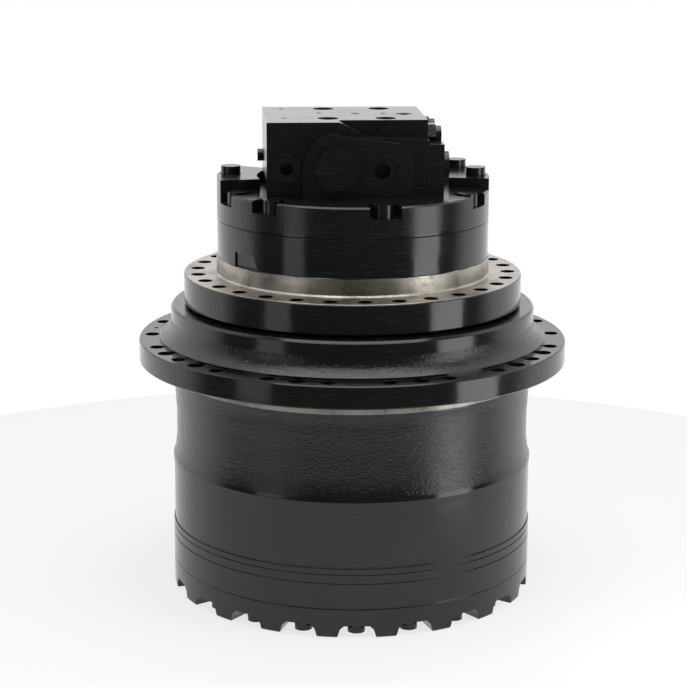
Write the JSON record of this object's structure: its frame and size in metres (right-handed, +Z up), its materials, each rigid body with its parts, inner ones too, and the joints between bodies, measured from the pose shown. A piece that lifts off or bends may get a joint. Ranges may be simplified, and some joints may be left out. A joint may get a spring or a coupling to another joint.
{
  "type": "excavator final drive",
  "caption": "Hydraulic travel motor with valve block on a two-stage planetary hub, with a sprocket flange, a frame flange and a lobed bolted cover.",
  "frame": {"origin": "centre of the hub cover's bottom, on the drive's axis", "axes": "+Z up along the drive's axis from the hub cover to the valve block; -Y is the valve block's front, with the hexagon plug"},
  "size_m": [0.5299, 0.53, 0.592],
  "materials": {
    "black_paint": "glossy black paint over cast iron",
    "ring_paint": "glossy black paint over turned steel",
    "case_paint": "glossy black paint, bare machined flange face and spigot",
    "black_screws": "painted over black oxide",
    "ground_steel": "ground",
    "gear_steel": "case-hardened and ground",
    "cast_iron": "as cast and machined",
    "spring_steel": "phosphated",
    "bronze": "machined",
    "friction_lining": "sintered lining on steel",
    "seal_rubber": "moulded"
  },
  "bodies": {
    "spindle": {"motor_case": "case_paint", "motor_cover": "black_paint", "motor_cover_screws": "black_screws", "counterbalance_plugs": "black_paint", "relief_valves": "black_paint", "speed_valve_cap": "black_paint", "passage_plugs": "black_screws", "swash_plate": "ground_steel", "swash_pivots": "ground_steel", "speed_piston": "ground_steel", "valve_plate": "ground_steel", "shaft_bearings": "ground_steel", "shaft_seal": "seal_rubber", "brake_plates": "ground_steel", "brake_spring": "spring_steel", "main_bearing_inner_rings": "ground_steel", "seal_ring_upper": "ground_steel", "toric_ring_upper": "seal_rubber", "carrier_2": "cast_iron", "carrier_2_screws": "black_screws", "carrier_2_pins": "ground_steel", "planet_2_needles": "ground_steel", "planet_2_washers": "bronze", "speed_spring": "spring_steel"},
    "hub": {"hub_housing": "black_paint", "ring_gear": "ring_paint", "hub_cover": "black_paint", "hub_cover_screws": "black_screws", "oil_plugs": "black_screws", "thrust_plate": "ground_steel", "main_bearing_outer_rings": "ground_steel", "seal_ring_lower": "ground_steel", "toric_ring_lower": "seal_rubber"},
    "bearing_cages": {"main_bearing_rollers": "ground_steel"},
    "first_carrier": {"carrier_1": "cast_iron", "carrier_1_pins": "ground_steel", "planet_1_needles": "ground_steel", "planet_1_washers": "bronze", "sun_2": "ground_steel"},
    "motor_shaft": {"sun_shaft": "ground_steel", "drive_shaft": "ground_steel", "cylinder_block": "ground_steel", "pistons": "ground_steel", "slippers": "bronze", "retainer_plate": "ground_steel", "retainer_guide": "ground_steel", "brake_discs": "friction_lining"},
    "brake_piston": {"brake_piston": "ground_steel"},
    "counterbalance_spool": {"counterbalance_spool": "ground_steel", "spool_springs": "spring_steel"},
    "speed_spool": {"speed_spool": "ground_steel"},
    "planet_2_a": {"planet_2_a": "gear_steel"},
    "planet_2_b": {"planet_2_b": "gear_steel"},
    "planet_2_c": {"planet_2_c": "gear_steel"},
    "planet_2_d": {"planet_2_d": "gear_steel"},
    "planet_1_a": {"planet_1_a": "gear_steel"},
    "planet_1_b": {"planet_1_b": "gear_steel"},
    "planet_1_c": {"planet_1_c": "gear_steel"}
  },
  "joints": [
    {"name": "hub_spin", "type": "hinge", "parent": "spindle", "child": "hub", "pos_m": [0, 0, 0], "axis": [0, 0, 1], "continuous": true},
    {"name": "bearing_cage_spin", "type": "hinge", "parent": "spindle", "child": "bearing_cages", "pos_m": [0, 0, 0], "axis": [0, 0, 1], "continuous": true},
    {"name": "first_carrier_spin", "type": "hinge", "parent": "spindle", "child": "first_carrier", "pos_m": [0, 0, 0], "axis": [0, 0, 1], "continuous": true},
    {"name": "motor_shaft_spin", "type": "hinge", "parent": "spindle", "child": "motor_shaft", "pos_m": [0, 0, 0], "axis": [0, 0, 1], "continuous": true},
    {"name": "planet_2_a_spin", "type": "hinge", "parent": "spindle", "child": "planet_2_a", "pos_m": [0.10925, 0, 0], "axis": [0, 0, 1], "continuous": true},
    {"name": "planet_2_b_spin", "type": "hinge", "parent": "spindle", "child": "planet_2_b", "pos_m": [0, 0.10925, 0], "axis": [0, 0, 1], "continuous": true},
    {"name": "planet_2_c_spin", "type": "hinge", "parent": "spindle", "child": "planet_2_c", "pos_m": [-0.10925, 0, 0], "axis": [0, 0, 1], "continuous": true},
    {"name": "planet_2_d_spin", "type": "hinge", "parent": "spindle", "child": "planet_2_d", "pos_m": [0, -0.10925, 0], "axis": [0, 0, 1], "continuous": true},
    {"name": "planet_1_a_spin", "type": "hinge", "parent": "first_carrier", "child": "planet_1_a", "pos_m": [0.09975, 0, 0], "axis": [0, 0, 1], "continuous": true},
    {"name": "planet_1_b_spin", "type": "hinge", "parent": "first_carrier", "child": "planet_1_b", "pos_m": [-0.04988, 0.08639, 0], "axis": [0, 0, 1], "continuous": true},
    {"name": "planet_1_c_spin", "type": "hinge", "parent": "first_carrier", "child": "planet_1_c", "pos_m": [-0.04988, -0.08639, 0], "axis": [0, 0, 1], "continuous": true},
    {"name": "brake_release", "type": "slide", "parent": "spindle", "child": "brake_piston", "axis": [0, 0, 1], "range_m": [0, 0.0025], "stiffness_N_per_m": 100000, "springref_m": -0.004, "deforming": ["brake_spring"]},
    {"name": "counterbalance_spool_slide", "type": "slide", "parent": "spindle", "child": "counterbalance_spool", "axis": [0, 1, 0], "range_m": [-0.008, 0.008], "stiffness_N_per_m": 8000},
    {"name": "speed_spool_slide", "type": "slide", "parent": "spindle", "child": "speed_spool", "axis": [-1, 0, 0], "range_m": [0, 0.006], "stiffness_N_per_m": 3000, "springref_m": -0.003}
  ],
  "couplings": [
    {"joint": "bearing_cage_spin", "follows": "hub_spin", "ratio": 0.52244},
    {"joint": "first_carrier_spin", "follows": "hub_spin", "ratio": -3.6},
    {"joint": "motor_shaft_spin", "follows": "hub_spin", "ratio": -31.2},
    {"joint": "planet_2_a_spin", "follows": "hub_spin", "ratio": 2.7692},
    {"joint": "planet_2_b_spin", "follows": "hub_spin", "ratio": 2.7692},
    {"joint": "planet_2_c_spin", "follows": "hub_spin", "ratio": 2.7692},
    {"joint": "planet_2_d_spin", "follows": "hub_spin", "ratio": 2.7692},
    {"joint": "planet_1_a_spin", "follows": "hub_spin", "ratio": 11.04},
    {"joint": "planet_1_b_spin", "follows": "hub_spin", "ratio": 11.04},
    {"joint": "planet_1_c_spin", "follows": "hub_spin", "ratio": 11.04}
  ]
}
